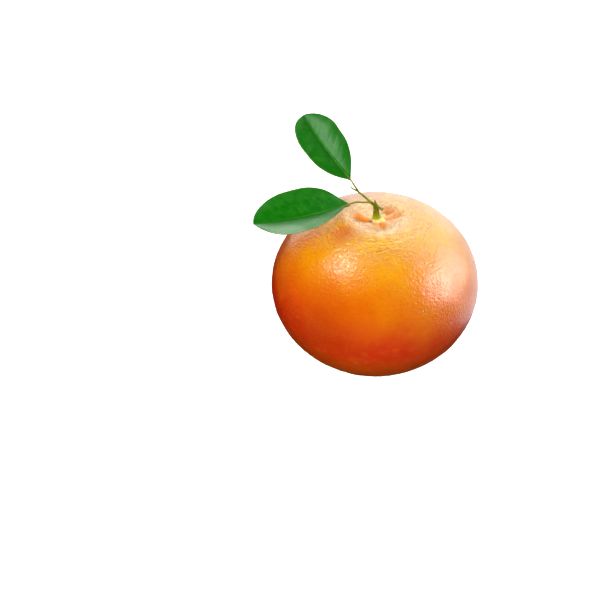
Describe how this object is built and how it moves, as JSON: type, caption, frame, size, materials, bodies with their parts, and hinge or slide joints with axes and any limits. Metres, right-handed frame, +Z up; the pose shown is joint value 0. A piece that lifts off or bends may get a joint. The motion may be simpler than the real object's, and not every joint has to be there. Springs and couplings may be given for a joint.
{
  "type": "grapefruit",
  "caption": "Whole grapefruit as picked, flattened round, with a puckered stem end, star-shaped calyx, woody stem stub, and a twig with leaves.",
  "frame": {"origin": "middle of the flat spot at the blossom end that the fruit rests on", "axes": "+Z up through the fruit to the stem, -Y the front, -X the side that the leaves point to"},
  "size_m": [0.1138, 0.1047, 0.132],
  "materials": {
    "rind": null,
    "calyx": "dry plant tissue, pale yellow green with brown edges, matt",
    "stem": "young citrus wood, olive green bark with fine ridges, cut end brown",
    "leaf": null
  },
  "bodies": {
    "root": {"fruit": "rind", "calyx": "calyx", "stem": "stem", "leaf_left": "leaf", "leaf_upper": "leaf"}
  },
  "joints": []
}
